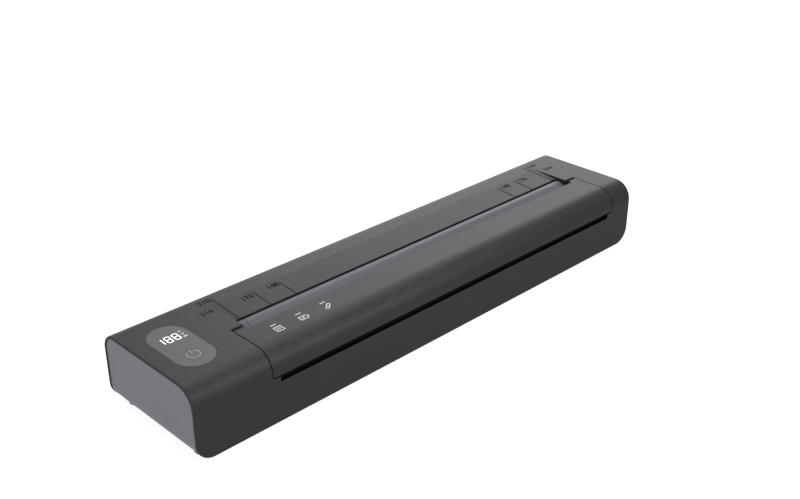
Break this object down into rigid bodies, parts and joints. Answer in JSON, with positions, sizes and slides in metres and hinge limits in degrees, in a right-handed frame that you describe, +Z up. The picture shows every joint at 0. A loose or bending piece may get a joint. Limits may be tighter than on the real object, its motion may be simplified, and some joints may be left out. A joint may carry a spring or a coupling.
{
  "type": "portable thermal printer",
  "caption": "Slim portable sheet printer: rear-hinged front lid with the print head, geared rubber platen, oval display panel with a round power key, low rubber feet.",
  "frame": {"origin": "on the table, in the middle of the case's length and depth", "axes": "+X along the case to the right as seen from the front, +Y from the front face to the rear, +Z up"},
  "size_m": [0.2824, 0.0634, 0.0345],
  "materials": {
    "bar_plastic": "satin",
    "board_green": "satin",
    "brass": "satin",
    "cell_wrap": "satin",
    "chip_plastic": "matte",
    "dark_case": "satin",
    "display_glass": "gloss",
    "foot_rubber": "matte",
    "gear_plastic": "satin",
    "head_aluminium": "satin",
    "head_ceramic": "gloss",
    "inner_plastic": "matte",
    "light_pipe": "gloss",
    "light_tray": "satin",
    "motor_can": "satin",
    "panel_face": "satin",
    "panel_face_key": "satin",
    "platen_rubber": "matte",
    "steel": "brushed"
  },
  "bodies": {
    "base": {"upper_case": "dark_case", "base_tray": "light_tray", "rubber_feet": "foot_rubber", "case_screws": "steel", "display_window": "panel_face", "display_module": "display_glass", "display_board": "board_green", "power_switch": "chip_plastic", "display_screws": "steel", "left_side_frame": "steel", "right_side_frame": "steel", "gear_plate": "steel", "frame_screws": "steel", "platen_bushes": "brass", "hinge_pins": "steel", "latch_studs": "steel", "feed_chute": "inner_plastic", "paper_sensor": "chip_plastic", "exit_guide": "inner_plastic", "idler_stud": "steel", "motor_body": "motor_can", "motor_screws": "steel", "main_board": "board_green", "main_chips": "chip_plastic", "io_board": "board_green", "usb_socket": "steel", "board_screws": "steel", "battery_cells": "cell_wrap", "battery_cradle": "inner_plastic"},
    "lid": {"lid_cover": "dark_case", "guide_bar": "bar_plastic", "lid_frame": "inner_plastic", "lid_screws": "steel", "light_pipes": "light_pipe", "indicator_board": "board_green", "head_springs": "steel", "head_pivot_shaft": "steel"},
    "print_head": {"head_sink": "head_aluminium", "head_substrate": "head_ceramic", "head_connector": "chip_plastic"},
    "latch": {"latch_shaft": "steel", "latch_hooks": "steel"},
    "platen": {"platen_shaft": "steel", "platen_rubber": "platen_rubber", "platen_gear": "gear_plastic"},
    "idler": {"idler_gear": "gear_plastic"},
    "motor_rotor": {"motor_shaft": "steel", "motor_pinion": "brass"},
    "power_key": {"power_key": "panel_face_key"}
  },
  "joints": [
    {"name": "lid_hinge", "type": "hinge", "parent": "base", "child": "lid", "pos_m": [0.0113, -0.0014, 0.0306], "axis": [-1, 0, 0], "range_deg": [0, 75]},
    {"name": "head_pivot", "type": "hinge", "parent": "lid", "child": "print_head", "pos_m": [0.0113, -0.01203, 0.02966], "axis": [-1, 0, 0], "range_deg": [0, 3], "stiffness_Nm_per_rad": 0.5, "springref_deg": -11.46, "deforming": ["head_springs"]},
    {"name": "latch_pivot", "type": "hinge", "parent": "lid", "child": "latch", "pos_m": [0.0113, -0.0263, 0.028], "axis": [-1, 0, 0], "range_deg": [0, 12], "stiffness_Nm_per_rad": 0.02, "springref_deg": -11.46},
    {"name": "power_key_press", "type": "slide", "parent": "base", "child": "power_key", "axis": [0, 0, -1], "range_m": [0, 0.00035], "stiffness_N_per_m": 1200, "springref_m": -0.0005},
    {"name": "platen_spin", "type": "hinge", "parent": "base", "child": "platen", "pos_m": [0.0113, -0.01573, 0.02068], "axis": [1, 0, 0], "continuous": true},
    {"name": "idler_spin", "type": "hinge", "parent": "base", "child": "idler", "pos_m": [-0.1074, -0.00414, 0.01758], "axis": [1, 0, 0], "continuous": true},
    {"name": "motor_spin", "type": "hinge", "parent": "base", "child": "motor_rotor", "pos_m": [-0.1074, 0.00786, 0.01758], "axis": [1, 0, 0], "continuous": true}
  ],
  "couplings": [
    {"joint": "idler_spin", "follows": "platen_spin", "ratio": -2.3333},
    {"joint": "motor_spin", "follows": "platen_spin", "ratio": 6.1515}
  ]
}
